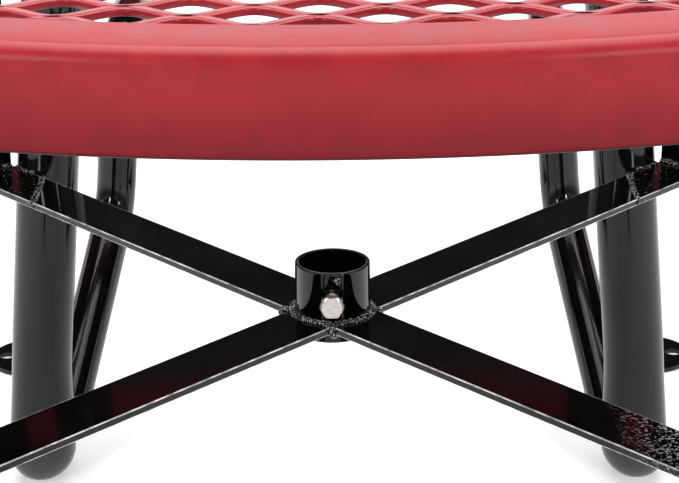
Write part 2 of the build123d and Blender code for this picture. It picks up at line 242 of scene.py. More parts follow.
def mix_colours(tree, blend_type, first, second, factor=1.0, fade=None):
    """Two colours mixed as blend_type says, by a fixed factor or by the value of fade."""
    node = tree.nodes.new("ShaderNodeMix")
    node.data_type = "RGBA"
    node.blend_type = blend_type
    node.inputs["Factor"].default_value = factor
    if fade is not None:
        tree.links.new(fade, node.inputs["Factor"])
    tree.links.new(first, node.inputs[MIX_FIRST_COLOUR])
    tree.links.new(second, node.inputs[MIX_SECOND_COLOUR])
    return node.outputs[MIX_RESULT_COLOUR]


def add_bump(tree, shader, layers):
    """Stacks bumps onto the shader's normal: layers are (height, strength, distance in m)."""
    normal = None
    for height, strength, distance in layers:
        node = tree.nodes.new("ShaderNodeBump")
        node.inputs["Strength"].default_value = strength
        node.inputs["Distance"].default_value = distance
        tree.links.new(height, node.inputs["Height"])
        if normal is not None:
            tree.links.new(normal, node.inputs["Normal"])
        normal = node.outputs["Normal"]
    tree.links.new(normal, shader.inputs["Normal"])


def add_underside_shade(tree, colour):
    """Painted shade: the same colour, darker on faces that point down, so that black parts mirror less
    red.
    """
    geometry = tree.nodes.new("ShaderNodeNewGeometry")
    lean = add_rise(tree, geometry.outputs["Normal"], "Z", -1.0, 1.0)
    tone = add_ramp(tree, lean, [(0.2, UNDERSIDE_PAINTED_SHADE), (0.4, WHITE)])
    return mix_colours(tree, "MULTIPLY", colour, tone)


def red_coating(name, coat, shade_below=None):
    """Thick satin plastic dip coating with slow colour drift, smudges and orange peel, and painted shade
    on faces that point down.

    shade_below is the two Z in m between which the colour turns from its darkest to full, a painted shade
    towards the skirt's bottom.
    """
    material, tree, shader, coords = start_material(name)
    drift = add_noise(tree, coords, scale=5.0, detail=3.0, roughness=0.55)
    smudge = add_noise(tree, coords, scale=34.0, detail=4.0, roughness=0.6)
    peel = add_noise(tree, coords, scale=420.0, detail=1.5)
    wave = add_noise(tree, coords, scale=60.0, detail=2.0)
    base = add_ramp(tree, drift, [(NOISE_LOW, RED_DARK), (NOISE_HIGH, RED_LIGHT)])
    dirt = add_ramp(tree, smudge, [(0.42, SMUDGE_TONE), (0.56, WHITE)])
    smudged = mix_colours(tree, "MULTIPLY", base, dirt, factor=0.6)
    # painted shade on faces that point down
    colour = add_underside_shade(tree, smudged)
    # painted shade: the colour darkens towards the skirt's bottom edge
    if shade_below is not None:
        rise = add_rise(tree, coords, "Z", *shade_below)
        tone = add_ramp(tree, rise, [(0.0, SKIRT_FOOT_PAINTED_SHADE), (0.8, WHITE)])
        colour = mix_colours(tree, "MULTIPLY", colour, tone)
    tree.links.new(colour, shader.inputs["Base Color"])
    tree.links.new(add_range(tree, smudge, 0.30, 0.42), shader.inputs["Roughness"])
    shader.inputs["Specular IOR Level"].default_value = 0.2
    shader.inputs["Coat Weight"].default_value = coat
    shader.inputs["Coat Roughness"].default_value = 0.12
    add_bump(tree, shader, [(wave, 0.25, 0.0006), (peel, 0.10, 0.0002)])
    return material


def black_powder(
    name, peel_strength, roughness=MIRROR_GLOSS, gloss=0.3, painted_glints=None, from_x=None, floor_light_below=None
):
    """Gloss black powder coat with an orange peel.

    The pale spots, given as (scale, threshold), are painted glints, and from_x is the two X in m
    between which they fade in. Below the given Z in m the black turns greyer: painted light from the
    floor.
    """
    material, tree, shader, coords = start_material(name)
    peel = add_noise(tree, coords, scale=330.0, detail=2.0, roughness=0.45)
    fine = add_noise(tree, coords, scale=1100.0, detail=1.0)
    dust = add_noise(tree, coords, scale=22.0, detail=5.0, roughness=0.62)
    colour = add_ramp(tree, dust, [(0.35, BLACK_DEEP), (0.75, BLACK_DUSTY)])
    # painted glints: pale specks added onto the black
    if painted_glints is not None:
        scale, threshold = painted_glints
        glint = add_noise(tree, coords, scale=scale, detail=3.0, roughness=0.6)
        bright = add_ramp(tree, glint, [(threshold, NO_COLOUR), (threshold + 0.05, GLINT)])
        fade = None if from_x is None else add_rise(tree, coords, "X", *from_x)
        colour = mix_colours(tree, "ADD", colour, bright, fade=fade)
    # painted light from the floor: the black turns greyer towards the ground
    if floor_light_below is not None:
        rise = add_rise(tree, coords, "Z", 0.0, floor_light_below)
        floor_reflection = add_ramp(tree, rise, [(0.0, PAINTED_FLOOR_LIGHT), (1.0, NO_COLOUR)])
        colour = mix_colours(tree, "ADD", colour, floor_reflection)
    tree.links.new(colour, shader.inputs["Base Color"])
    tree.links.new(add_range(tree, dust, *roughness), shader.inputs["Roughness"])
    shader.inputs["Specular IOR Level"].default_value = gloss
    add_bump(tree, shader, [(peel, peel_strength, 0.0006), (fine, peel_strength * 0.4, 0.0001)])
    return material


def painted_edge_highlight():
    """Painted highlight: a pale, slightly uneven grey for the light lines along the brace bars' edges."""
    material, tree, shader, coords = start_material("black_powder_edge_highlight")
    highlight_patches = add_noise(tree, coords, scale=75.0, detail=4.0, roughness=0.6)
    colour = add_ramp(tree, highlight_patches, [(0.35, (0.22, 0.22, 0.225)), (0.62, (0.85, 0.85, 0.86))])
    tree.links.new(colour, shader.inputs["Base Color"])
    tree.links.new(add_range(tree, highlight_patches, 0.18, 0.3), shader.inputs["Roughness"])
    add_bump(tree, shader, [(highlight_patches, 0.2, 0.0003)])
    return material


def zinc_plate():
    """Bright zinc: pale warm silver with a fine grain and faint blotches."""
    material, tree, shader, coords = start_material("bare_zinc")
    blotch = add_noise(tree, coords, scale=260.0, detail=3.0)
    grain = add_noise(tree, coords, scale=2400.0, detail=2.0)
    colour = add_ramp(tree, blotch, [(NOISE_LOW, (0.42, 0.39, 0.38)), (NOISE_HIGH, (0.62, 0.59, 0.58))])
    tree.links.new(colour, shader.inputs["Base Color"])
    tree.links.new(add_range(tree, blotch, 0.24, 0.40), shader.inputs["Roughness"])
    shader.inputs["Metallic"].default_value = 1.0
    add_bump(tree, shader, [(grain, 0.25, 0.00008)])
    return material


def moulded_plastic(name, low, high):
    """Fine-grained moulded plastic between two close colours."""
    material, tree, shader, coords = start_material(name)
    tone = add_noise(tree, coords, scale=90.0, detail=3.0)
    grain = add_noise(tree, coords, scale=1500.0, detail=2.0)
    colour = add_ramp(tree, tone, [(NOISE_LOW, low), (NOISE_HIGH, high)])
    tree.links.new(colour, shader.inputs["Base Color"])
    tree.links.new(add_range(tree, tone, 0.42, 0.55), shader.inputs["Roughness"])
    add_bump(tree, shader, [(grain, 0.3, 0.0002)])
    return material


def pale_floor():
    """A plain, nearly white studio floor with some light of its own."""
    material, tree, shader, coords = start_material("studio_floor")
    tone = add_noise(tree, coords, scale=0.6, detail=2.0)
    colour = add_ramp(tree, tone, [(NOISE_LOW, grey(0.90)), (NOISE_HIGH, grey(0.92))])
    tree.links.new(colour, shader.inputs["Base Color"])
    shader.inputs["Roughness"].default_value = 0.9
    shader.inputs["Specular IOR Level"].default_value = 0.1
    shader.inputs["Emission Color"].default_value = (1.0, 1.0, 1.0, 1.0)
    shader.inputs["Emission Strength"].default_value = FLOOR_GLOW
    return material


RED = red_coating("red_coating", STRAND_COAT)
# the rim's coating carries painted shade towards the skirt's bottom
RED_RIM_SHADED = red_coating("red_coating_rim_shaded", 0.0, (SKIRT_BOTTOM * MM, (SKIRT_BOTTOM + SKIRT_SHADE_RISE) * MM))
BLACK = black_powder("black_powder_coat", 0.06, gloss=TUBE_GLOSS)
# painted light from the floor: the legs turn greyer near the ground
BLACK_LEG_FLOOR_LIT = black_powder("black_powder_leg_floor_lit", 0.06, gloss=TUBE_GLOSS, floor_light_below=FLOOR_LIGHT_TOP * MM)
BLACK_BAR = black_powder("black_powder_bar", 0.03)
# painted glints on the arm ends
BLACK_END = black_powder("black_powder_end", 0.3, painted_glints=(420.0, 0.66))
# painted glints on the front-right arm, fading in along X
BLACK_ROUGH_GLINTS = black_powder(
    "black_powder_rough_glints", 0.1, painted_glints=(430.0, 0.555), from_x=(GLINT_FADE_START * MM, GLINT_FADE_FULL * MM)
)
BLACK_EDGE_HIGHLIGHT = painted_edge_highlight()
# painted glints on the weld beads
BLACK_WELD = black_powder("black_powder_weld", 0.9, WELD_GLOSS, gloss=0.42, painted_glints=(620.0, 0.56))
ZINC = zinc_plate()
CAP = moulded_plastic("cap_plastic", (0.010, 0.010, 0.011), (0.020, 0.020, 0.021))
NYLON = moulded_plastic("pad_nylon", (0.66, 0.65, 0.60), (0.78, 0.77, 0.73))


# ---- mesh building -----------------------------------------------------------
BEAD_STEP = 0.8
BEAD_SIDES = 12
BEAD_RIPPLE = 0.13
BEAD_SWELL = 0.10
BEAD_WANDER = 0.12
BEAD_LUMP = 0.07


def make_piece(name, vertices, faces, material, body="table", replaces=(), sharp_angle=None):
    """A smooth-shaded mesh piece from mm vertices, riding on a body."""
    data = bpy.data.meshes.new(name)
    data.from_pydata((np.asarray(vertices, float) * MM).tolist(), [], faces)
    data.validate()
    data.polygons.foreach_set("use_smooth", [True] * len(data.polygons))
    if sharp_angle is not None:
        data.set_sharp_from_angle(angle=math.radians(sharp_angle))
    data.materials.append(material)
    piece = bpy.data.objects.new(name, data)
    bpy.context.scene.collection.objects.link(piece)
    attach(piece, body)
    if replaces:
        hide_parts(*replaces)
    return piece


def grid_faces(rows, columns, wrap_rows=False):
    """Quads over a grid of vertices, row by row: each row is closed, and so are the rows if asked."""
    faces = []
    for i in range(rows if wrap_rows else rows - 1):
        this_row = i * columns
        next_row = (i + 1) % rows * columns
        for j in range(columns):
            k = (j + 1) % columns
            faces.append((this_row + j, this_row + k, next_row + k, next_row + j))
    return faces


def end_caps(rows, columns):
    """A face that closes the first row of a grid and one that closes its last row."""
    last = (rows - 1) * columns
    return [tuple(reversed(range(columns))), tuple(range(last, last + columns))]


def lathe(profile, steps):
    """Turns a closed (radius, height) profile about Z."""
    profile = np.asarray(profile, float)
    angles = np.linspace(0, 2 * math.pi, steps, endpoint=False)
    rings = [
        np.column_stack([profile[:, 0] * math.cos(a), profile[:, 0] * math.sin(a), profile[:, 1]])
        for a in angles
    ]
    return np.vstack(rings), grid_faces(steps, len(profile), wrap_rows=True)


def arc_points(centre, radius, start, end, steps):
    """Points along an arc in a plane, angles in degrees."""
    return [
        (
            centre[0] + radius * math.cos(math.radians(a)),
            centre[1] + radius * math.sin(math.radians(a)),
        )
        for a in np.linspace(start, end, steps)
    ]


def rounded_path(points, radii, step=6.0):
    """Straight runs joined by tangent arcs, sampled about every step mm."""
    points = [np.asarray(p, float) for p in points]
    path = [points[0]]
    for before, corner, after, radius in zip(points, points[1:], points[2:], radii):
        u = (before - corner) / np.linalg.norm(before - corner)
        v = (after - corner) / np.linalg.norm(after - corner)
        half = math.acos(float(np.dot(u, v))) / 2
        reach = radius / math.tan(half)
        bisector = (u + v) / np.linalg.norm(u + v)
        centre = corner + bisector * radius / math.sin(half)
        first = corner + u * reach - centre
        last = corner + v * reach - centre
        sweep = math.pi - 2 * half
        count = max(4, int(radius * sweep / step))
        for k in range(count + 1):
            t = k / count
            blend = math.sin((1 - t) * sweep) * first + math.sin(t * sweep) * last
            path.append(centre + blend / math.sin(sweep))
    path.append(points[-1])
    return np.array(path)


def resample(path, step):
    """The same path with points evenly spaced, about step mm apart."""
    path = np.asarray(path, float)
    lengths = np.concatenate([[0], np.cumsum(np.linalg.norm(np.diff(path, axis=0), axis=1))])
    count = max(2, int(lengths[-1] / step) + 1)
    at = np.linspace(0, lengths[-1], count)
    return np.column_stack([np.interp(at, lengths, path[:, k]) for k in range(3)])


def path_frames(path):
    """Two directions across the path at each point, turned with it as little as possible."""
    tangents = np.gradient(path, axis=0)
    tangents /= np.linalg.norm(tangents, axis=1)[:, None]
    side = np.cross(tangents[0], (0, 0, 1))
    if np.linalg.norm(side) < 1e-6:
        side = np.cross(tangents[0], (0, 1, 0))
    side /= np.linalg.norm(side)
    sides = []
    for tangent in tangents:
        side = side - np.dot(side, tangent) * tangent
        side /= np.linalg.norm(side)
        sides.append(side)
    sides = np.array(sides)
    return sides, np.cross(sides, tangents)


def tube_mesh(path, radius, segments, capped):
    """A round tube along a path; capped says whether its start and its end are closed."""
    path = np.asarray(path, float)
    sides, ups = path_frames(path)
    angles = np.linspace(0, 2 * math.pi, segments, endpoint=False)
    rings = [
        p + radius * (np.outer(np.cos(angles), s) + np.outer(np.sin(angles), u))
        for p, s, u in zip(path, sides, ups)
    ]
    vertices = np.vstack(rings)
    faces = grid_faces(len(path), segments)
    faces += [cap for cap, wanted in zip(end_caps(len(path), segments), capped) if wanted]
    return vertices, faces


def join_meshes(parts):
    """One vertex list and face list from several."""
    vertices, faces, offset = [], [], 0
    for part_vertices, part_faces in parts:
        vertices.append(part_vertices)
        faces.extend(tuple(i + offset for i in face) for face in part_faces)
        offset += len(part_vertices)
    return np.vstack(vertices), faces


def uneven(rng, distance, every, spread):
    """A slow random drift along a path, with a new value at every so many of its points."""
    knots = distance[::every]
    return np.interp(distance, knots, rng.normal(0, spread, len(knots)))


def weld_bead(path, radius, seed, closed=False):
    """A hand-laid weld bead: a rippled, slightly wandering roll of metal along a path."""
    rng = np.random.default_rng(seed)
    path = resample(path, BEAD_STEP)
    count = len(path)
    distance = np.arange(count) * BEAD_STEP
    ripple = BEAD_RIPPLE * np.abs(np.sin(distance * math.pi / (radius * 0.75)))
    swell = uneven(rng, distance, 9, BEAD_SWELL)
    wander = uneven(rng, distance, 7, BEAD_WANDER * radius)
    if closed:
        fade = np.clip(np.minimum(np.arange(count), np.arange(count)[::-1]) / 8, 0, 1)
        swell *= fade
        wander *= fade
    radii = radius * (0.92 + ripple + swell)
    if not closed:
        ends = np.minimum(distance, distance[-1] - distance) / radius
        radii *= np.sqrt(np.clip(ends * (2 - np.clip(ends, 0, 1)), 0.02, 1))
    sides, ups = path_frames(path)
    path = path + sides * wander[:, None]
    angles = np.linspace(0, 2 * math.pi, BEAD_SIDES, endpoint=False)
    rings = []
    for k in range(count):
        lumps = radii[k] * (1 + rng.normal(0, BEAD_LUMP, BEAD_SIDES))
        across = np.outer(np.cos(angles) * lumps, sides[k])
        height = np.outer(np.sin(angles) * lumps, ups[k])
        rings.append(path[k] + across + height)
    faces = grid_faces(count, BEAD_SIDES)
    if not closed:
        faces += end_caps(count, BEAD_SIDES)
    return np.vstack(rings), faces


# ---- table top ---------------------------------------------------------------
def build_top_rim():
    """Border, rounded corner and skirt in one turned section, with a lip under the border."""
    inner = TOP_RADIUS - BORDER_WIDTH - LIP_OVERHANG
    inside = TOP_RADIUS - SKIRT_THICK
    lip = SKIRT_THICK / 2
    half = BORDER_THICK / 2
    skirt_heights = np.linspace(TOP_HEIGHT - RIM_ROUND - 5, SKIRT_BOTTOM + 7, 8)
    profile = arc_points((inner + half, TOP_HEIGHT - half), half, 270, 90, 9)
    profile += arc_points((TOP_RADIUS - RIM_ROUND, TOP_HEIGHT - RIM_ROUND), RIM_ROUND, 90, 0, 14)
    profile += [(TOP_RADIUS, z) for z in skirt_heights]
    profile += arc_points((TOP_RADIUS - lip, SKIRT_BOTTOM + lip), lip, 0, -180, 9)
    profile += [(inside, SHEET_BOTTOM - LIP_CORNER - 3)]
    profile += arc_points((inside - LIP_CORNER, SHEET_BOTTOM - LIP_CORNER), LIP_CORNER, 0, 90, 7)
    vertices, faces = lathe(profile, RIM_STEPS)
    make_piece("top_rim_coated", vertices, faces, RED_RIM_SHADED, replaces=["top_rim"])


def strand_section():
    """A coated strand's cross-section: a flat oval with square shoulders, as (across, up) points."""
    angles = np.linspace(0, 2 * math.pi, STRAND_SIDES, endpoint=False) + math.pi / STRAND_SIDES
    cosine = np.cos(angles)
    sine = np.sin(angles)
    across = STRAND_WIDTH / 2 * np.sign(cosine) * np.abs(cosine) ** STRAND_SQUARENESS
    up = STRAND_THICK / 2 * np.sign(sine) * np.abs(sine) ** STRAND_SQUARENESS
    return across, up


def strand_line(row, x):
    """Y of one strand over x: it swings between its two neighbours and joins each in turn."""
    phase = (x - MESH_SHIFT[0]) / MESH_LONG_PITCH * 2 * math.pi
    middle = (row + 0.5) * MESH_ROW + MESH_SHIFT[1]
    return middle + (-1) ** (row % 2) * STRAND_SWING * np.cos(phase)


def true_runs(keep):
    """Slices over the stretches where keep is true, leaving out those under three long."""
    edges = np.flatnonzero(np.diff(np.concatenate([[0], keep.astype(int), [0]])))
    return [slice(a, b) for a, b in zip(edges[::2], edges[1::2]) if b - a > 2]


def expanded_sheet(inside, height, half_width, y_range):
    """Coated strands over the part of the plane where inside(x, y) is true."""
    across, up = strand_section()
    parts = []
    step = MESH_LONG_PITCH / STRAND_STEPS
    x = np.arange(-half_width, half_width + step, step)
    rows = int(max(abs(y) for y in y_range) / MESH_ROW) + 2
    for row in range(-rows, rows + 1):
        y = strand_line(row, x)
        if y.max() < y_range[0] or y.min() > y_range[1]:
            continue
        for span in true_runs(inside(x, y)):
            parts.append(strand_mesh(x[span], y[span], height, across, up))
    return join_meshes(parts)


def strand_mesh(x, y, height, across, up):
    """One strand: its cross-section swept along a line in the plane, square to it."""
    slope = np.gradient(y, x)
    length = np.hypot(1, slope)
    normal = np.column_stack([-slope / length, 1 / length])
    columns = len(across)
    vertices = np.empty((len(x), columns, 3))
    vertices[:, :, 0] = x[:, None] + normal[:, 0:1] * across
    vertices[:, :, 1] = y[:, None] + normal[:, 1:2] * across
    vertices[:, :, 2] = height + up
    faces = grid_faces(len(x), columns) + end_caps(len(x), columns)
    return vertices.reshape(-1, 3), faces


def build_top_mesh():
    outer = TOP_RADIUS - BORDER_WIDTH + 1.5
    inner = RING_FLANGE - 2

    def inside(x, y):
        r = np.hypot(x, y)
        return (r < outer) & (r > inner)

    height = TOP_HEIGHT - STRAND_DROP - STRAND_THICK / 2
    vertices, faces = expanded_sheet(inside, height, outer, (-outer, outer))
    make_piece("top_mesh_strands", vertices, faces, RED, replaces=["top_mesh"])


def build_umbrella_ring():
    """A flat collar over the sheet with a short tube through it, all edges rounded."""
    tube_bottom = TOP_HEIGHT - RING_DEPTH
    profile = arc_points((RING_FLANGE - 2.5, TOP_HEIGHT - 2.5), 2.5, 90, -90, 9)
    profile += arc_points((POLE_TUBE + 2, SHEET_BOTTOM - 2), 2, 90, 180, 5)
    profile += arc_points((POLE_TUBE - 1, tube_bottom + 1), 1, 0, -90, 4)
    profile += arc_points((RING_BORE + 1, tube_bottom + 1), 1, -90, -180, 4)
    profile += arc_points((RING_BORE + 2, TOP_HEIGHT - 2), 2, 180, 90, 5)
    vertices, faces = lathe(profile[::-1], RING_STEPS)
    make_piece("umbrella_ring_coated", vertices, faces, RED, replaces=["umbrella_ring"])


# ---- benches -----------------------------------------------------------------
def bench_loop(sign, inset, step=7.0):
    """The bench's plan outline pulled in by inset: arcs, straight ends and round corners."""
    inner = BENCH_INNER + inset
    outer = BENCH_OUTER - inset
    half = math.radians(BENCH_SPAN) - inset / BENCH_OUTER
    radius = max(BENCH_CORNER - inset / 2, 4)
    lift_out = math.asin(radius / (outer - radius))
    lift_in = math.asin(radius / (inner + radius))
    quarter = math.pi / 2
    points = []

    def polar(r, a):
        return np.array([r * math.sin(a), r * math.cos(a)])

    def corner(centre, start, end):
        for a in np.linspace(start, end, 9):
            points.append(centre + polar(radius, a))

    steps = int(2 * half * outer / step)
    for a in np.linspace(-half + lift_out, half - lift_out, steps)[1:-1]:
        points.append(polar(outer, a))
    corner(polar(outer - radius, half - lift_out), half - lift_out, half + quarter)
    corner(polar(inner + radius, half - lift_in), half + quarter, half - lift_in + 2 * quarter)
    for a in np.linspace(half - lift_in, -half + lift_in, steps)[1:-1]:
        points.append(polar(inner, a))
    corner(polar(inner + radius, -half + lift_in), 2 * quarter - half + lift_in, 3 * quarter - half)
    corner(polar(outer - radius, -half + lift_out), 3 * quarter - half, 4 * quarter - half + lift_out)
    loop = np.array(points)
    loop[:, 1] *= sign
    return loop


def even_ring(loop, height):
    """A closed loop resampled to BENCH_LOOP_POINTS points at even distances, at one height."""
    closed = np.vstack([loop, loop[:1]])
    runs = np.linalg.norm(np.diff(closed, axis=0), axis=1)
    lengths = np.concatenate([[0], np.cumsum(runs)])
    at = np.linspace(0, 1, BENCH_LOOP_POINTS, endpoint=False) * lengths[-1]
    ring = [np.interp(at, lengths, closed[:, k]) for k in (0, 1)]
    return np.column_stack([*ring, np.full(BENCH_LOOP_POINTS, height)])


def build_bench(side, sign):
    """A bench's rim, swept round its outline like the table's, and its expanded sheet."""
    top = BENCH_HEIGHT
    bottom = BENCH_HEIGHT - BENCH_SKIRT
    sheet = BENCH_HEIGHT - BORDER_THICK
    corner = arc_points((0, top - BENCH_ROUND), BENCH_ROUND, 90, 0, 9)
    hem = arc_points((0, bottom + 2.5), 2.5, 0, -180, 7)
    section = [(BENCH_BORDER, sheet + 1), (BENCH_BORDER, top - 1), (BENCH_BORDER - 1.5, top)]
    section += [(BENCH_ROUND - x, z) for x, z in corner]
    section += [(0.0, z) for z in (top - 16, bottom + 8)]
    section += [(2.5 - x, z) for x, z in hem]
    section += [(SKIRT_THICK, sheet - 5), (SKIRT_THICK + 3, sheet), (BENCH_BORDER - 1, sheet)]
    rings = [even_ring(bench_loop(sign, inset), z) for inset, z in section]
    faces = grid_faces(len(rings), BENCH_LOOP_POINTS, wrap_rows=True)
    make_piece(
        f"bench_rim_{side}_coated", np.vstack(rings), faces, RED,
        replaces=[f"bench_rim_{side}"],
    )

    middle = (BENCH_INNER + BENCH_OUTER) / 2
    tuck = BENCH_BORDER - 3
    half_width = middle - BENCH_INNER - tuck
    edge = math.radians(BENCH_SPAN) - tuck / BENCH_INNER

    def inside(x, y):
        r = np.hypot(x, y)
        angle = np.arctan2(np.abs(x), sign * y)
        return (np.abs(r - middle) < half_width) & (angle < edge)

    y_range = sorted((sign * BENCH_NEAREST_Y, sign * BENCH_OUTER))
    height = sheet + STRAND_THICK / 2 + STRAND_LIFT
    vertices, faces = expanded_sheet(inside, height, BENCH_OUTER * math.sin(edge), y_range)
    make_piece(
        f"bench_mesh_{side}_strands", vertices, faces, RED,
        replaces=[f"bench_mesh_{side}"],
    )


# ---- legs, seat tubes and rails ----------------------------------------------
def ease(t):
    """0 to 1 with a soft start and end."""
    return t * t * (3 - 2 * t)


def build_leg(corner, sx, sy):
    """Big tube whose rounded foot leans a little towards the middle of the table."""
    heights, radii = [], []
    for a in np.radians(np.linspace(-90, 0, 22)):
        heights.append(FOOT_RADIUS * (1 + math.sin(a)))
        radii.append(max(FOOT_RADIUS * math.cos(a), 0.05))
    for t in np.linspace(0, 1, 14)[1:]:
        heights.append(FOOT_RADIUS + FOOT_BLEND * t)
        radii.append(LEG_RADIUS + (FOOT_RADIUS - LEG_RADIUS) * (1 - ease(t)))
    for height in np.linspace(heights[-1], PLATE_BOTTOM, 24)[1:]:
        heights.append(height)
        radii.append(LEG_RADIUS)
    angles = np.linspace(0, 2 * math.pi, LEG_SIDES, endpoint=False)
    circle = np.column_stack([np.cos(angles), np.sin(angles), np.zeros(LEG_SIDES)])
    rings = []
    for height, radius in zip(heights, radii):
        t = min(max((height - FOOT_RADIUS * 0.6) / (FOOT_RADIUS + FOOT_BLEND), 0), 1)
        drift_x, drift_y = (shift * (1 - ease(t)) for shift in FOOT_SHIFT)
        centre = np.array([sx * (leg_x(height) + drift_x), sy * (LEG_Y + drift_y), height])
        rings.append(centre + radius * circle)
    faces = grid_faces(len(rings), LEG_SIDES) + end_caps(len(rings), LEG_SIDES)[:1]
    make_piece(
        f"leg_{corner}_tube", np.vstack(rings), faces, BLACK_LEG_FLOOR_LIT,
        replaces=[f"leg_{corner}"],
    )


def build_seat_tube(corner, sx, sy):
    """Thinner tube from the leg's foot up to the bench: out to a knee, up, and out again."""
    base = np.array([sx * (leg_x(DOME) - SEAT_TUBE_INSET), sy * LEG_Y, DOME])
    flip = np.array([sx, sy, 1])
    points = [base, flip * KNEE, flip * NECK, flip * SEAT_TUBE_TIP]
    path = rounded_path(points, [KNEE_RADIUS, NECK_RADIUS])
    outward = points[1] - base
    outward /= np.linalg.norm(outward)
    path[0] = base + outward * (DOME - 16)
    vertices, faces = tube_mesh(path, SEAT_TUBE, TUBE_SIDES, capped=(False, True))
    make_piece(
        f"seat_tube_{corner}_bent", vertices, faces, BLACK,
        replaces=[f"seat_tube_{corner}"],
    )


def build_rail(corner, sx, sy):
    """Straight tube along the ground from the leg's foot to its anchor foot."""
    base = np.array([sx * leg_x(DOME), sy * LEG_Y, RAIL_HEIGHT])
    tip = np.array([sx * RAIL_TIP[0], sy * RAIL_TIP[1], RAIL_HEIGHT])
    outward = (tip - base) / np.linalg.norm(tip - base)
    path = resample([base + outward * (DOME - 6), tip], 12)
    vertices, faces = tube_mesh(path, SEAT_TUBE, TUBE_SIDES, capped=(False, True))
    make_piece(
        f"foot_rail_{corner}_tube", vertices, faces, BLACK,
        replaces=[f"foot_rail_{corner}"],
    )


# ---- clamp screw, nut and collar ---------------------------------------------
def ring_along_y(radii, y, angles):
    """Points round the Y axis at one Y, with a radius for each angle."""
    return np.column_stack([radii * np.cos(angles), np.full(len(angles), y), radii * np.sin(angles)])


def hex_prism(flats, start, end, bore, chamfer, turn, ends=(True, True)):
    """A hexagonal block along +Y from start to end with turned-down corners and a round bore."""
    sixth = math.pi / 3
    angles = np.linspace(0, 2 * math.pi, HEX_STEPS, endpoint=False)
    folded = (angles - turn + sixth / 2) % sixth - sixth / 2
    hexagon = flats / 2 / np.cos(folded)
    rounded = np.minimum(hexagon, flats / 2 / math.cos(sixth / 2) - 0.25)
    fall = np.clip((rounded - (flats / 2 - 0.3)) * chamfer, 0, None)
    face = np.full(HEX_STEPS, flats / 2 - 0.4)
    hole = np.full(HEX_STEPS, bore)
    outline = [
        (hole, start),
        (face, start),
        (rounded, start + fall * ends[0]),
        (rounded, end - fall * ends[1]),
        (face, end),
        (hole, end),
    ]
    rings = [ring_along_y(radii, y, angles) for radii, y in outline]
    return np.vstack(rings), grid_faces(len(rings), HEX_STEPS, wrap_rows=bore > 0.5)


def thread_mesh(start, end, radius):
    """A screw thread along +Y as a radius field: a helix of shallow rounded ridges."""
    angles = np.linspace(0, 2 * math.pi, THREAD_SIDES, endpoint=False)
    count = int((end - start) / (THREAD_PITCH / 10))
    rings = []
    for k in range(count + 1):
        y = start + (end - start) * k / count
        wave = (y / THREAD_PITCH - angles / (2 * math.pi)) % 1.0
        depth = THREAD_DEPTH * (1 - np.abs(2 * wave - 1)) ** 1.2
        lead = min(1, (end - y) / THREAD_PITCH + 0.2)
        radii = (radius - depth) * (0.85 + 0.15 * lead)
        rings.append(ring_along_y(radii, y, angles))
    faces = grid_faces(len(rings), THREAD_SIDES) + end_caps(len(rings), THREAD_SIDES)
    return np.vstack(rings), faces


def build_clamp_screw():
    """Hex head, the round face under it and the threaded shank, on the body that moves."""
    place = np.array([0, BOLT_HEAD_FACE, BOLT_HEIGHT])
    no_bore = 0.02
    head = hex_prism(BOLT_FLATS, -BOLT_HEAD, -0.5, no_bore, 0.55, math.pi / 6, ends=(True, False))
    washer_face = hex_prism(BOLT_FLATS - 0.6, -0.6, 0, no_bore, 2.0, 0, ends=(False, False))
    shank = thread_mesh(-0.2, BOLT_LENGTH, BOLT_RADIUS)
    vertices, faces = join_meshes([head, washer_face, shank])
    make_piece(
        "clamp_bolt_hex_screw", vertices + place, faces, ZINC, body="bolt",
        replaces=["clamp_bolt"], sharp_angle=HARD_EDGE,
    )


def build_weld_nut():
    """The nut on the collar's front, its inner end sunk into the collar's curved wall."""
    place = np.array([0, 0, BOLT_HEIGHT])
    front = -POLE_TUBE - NUT_THICK
    back = -POLE_TUBE + 3.0
    vertices, faces = hex_prism(NUT_FLATS, front, back, BOLT_RADIUS + 0.15, 0.5, 0)
    make_piece(
        "weld_nut_hex", vertices + place, faces, BLACK, replaces=["weld_nut"],
        sharp_angle=HARD_EDGE,
    )


def collar_profile(low, high):
    """The collar's wall as a closed section with rounded edges and closely spaced rows."""
    rounding = COLLAR_ROUND
    outer = POLE_TUBE - rounding
    inner = COLLAR_BORE + rounding
    rows = np.arange(low + 2 * rounding, high - 2 * rounding, HOLE_GRID)
    profile = arc_points((outer, high - rounding), rounding, 0, 90, 5)
    profile += arc_points((inner, high - rounding), rounding, 90, 180, 5)
    profile += [(COLLAR_BORE, z) for z in rows[::-1]]
    profile += arc_points((inner, low + rounding), rounding, 180, 270, 5)
    profile += arc_points((outer, low + rounding), rounding, 270, 360, 5)
    profile += [(POLE_TUBE, z) for z in rows]
    return profile


def cut_screw_hole(vertices, faces):
    """Opens the front wall for the screw: drops the faces inside and pulls their rim to a circle."""
    from_axis = np.hypot(vertices[:, 0], vertices[:, 2] - BOLT_HEIGHT)
    inside = (vertices[:, 1] < 0) & (from_axis < SCREW_HOLE)
    faces = [face for face in faces if not all(inside[i] for i in face)]
    snapped = np.where(inside)[0]
    scale = SCREW_HOLE / np.maximum(from_axis[snapped], 0.1)
    vertices[snapped, 0] *= scale
    vertices[snapped, 2] = BOLT_HEIGHT + (vertices[snapped, 2] - BOLT_HEIGHT) * scale
    reach = np.hypot(vertices[snapped, 0], vertices[snapped, 1])
    wall = np.where(reach > (POLE_TUBE + COLLAR_BORE) / 2, POLE_TUBE, COLLAR_BORE)
    vertices[snapped, 1] = -np.sqrt(wall**2 - vertices[snapped, 0] ** 2)
    return vertices, faces


